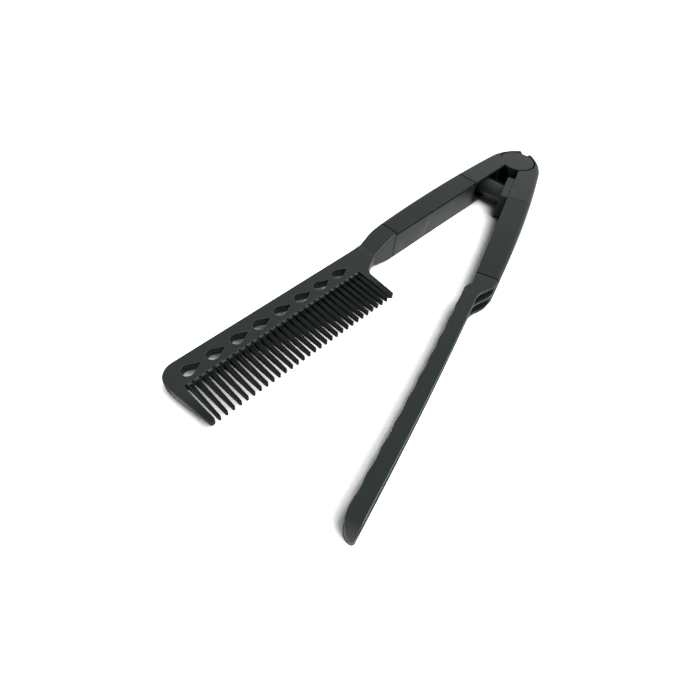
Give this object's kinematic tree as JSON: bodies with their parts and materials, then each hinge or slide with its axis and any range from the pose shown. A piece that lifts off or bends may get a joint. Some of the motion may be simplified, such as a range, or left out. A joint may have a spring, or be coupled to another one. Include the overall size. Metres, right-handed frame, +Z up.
{
  "type": "hot comb",
  "caption": "Straightening comb tong: a vented comb arm and a slotted, wavy-edged jaw arm on one hinge, held open by a spring in a tube and housing.",
  "frame": {"origin": "centre of the open tong's box, on the surface it lies on", "axes": "+Z up out of the table the tong lies on, +Y from the comb's tip towards the hinge, midway between the arms, +X towards the jaw arm"},
  "size_m": [0.1006, 0.263, 0.0165],
  "materials": {
    "handle_plastic": "satin charcoal, fine moulded grain",
    "comb_plastic": "satin charcoal, fine moulded grain",
    "spring_steel": "bright drawn wire",
    "pin_steel": "zinc-plated steel"
  },
  "bodies": {
    "comb_side": {"comb_hinge_arm": "handle_plastic", "comb_handle_shell": "handle_plastic", "comb_handle_cover": "handle_plastic", "comb_handle_screws": "pin_steel", "comb": "comb_plastic", "spring_tube": "handle_plastic", "return_spring": "spring_steel", "hinge_pin": "pin_steel"},
    "clamp_side": {"clamp_hinge_arm": "handle_plastic", "clamp_handle_shell": "handle_plastic", "clamp_handle_cover": "handle_plastic", "clamp_handle_screws": "pin_steel", "clamp_jaw": "comb_plastic", "spring_housing": "handle_plastic"}
  },
  "joints": [
    {"name": "tong_hinge", "type": "hinge", "parent": "comb_side", "child": "clamp_side", "pos_m": [0.0056, 0.1166, 0.00825], "axis": [0, 0, 1], "range_deg": [-18, 10], "stiffness_Nm_per_rad": 1.2, "deforming": ["return_spring"]}
  ]
}
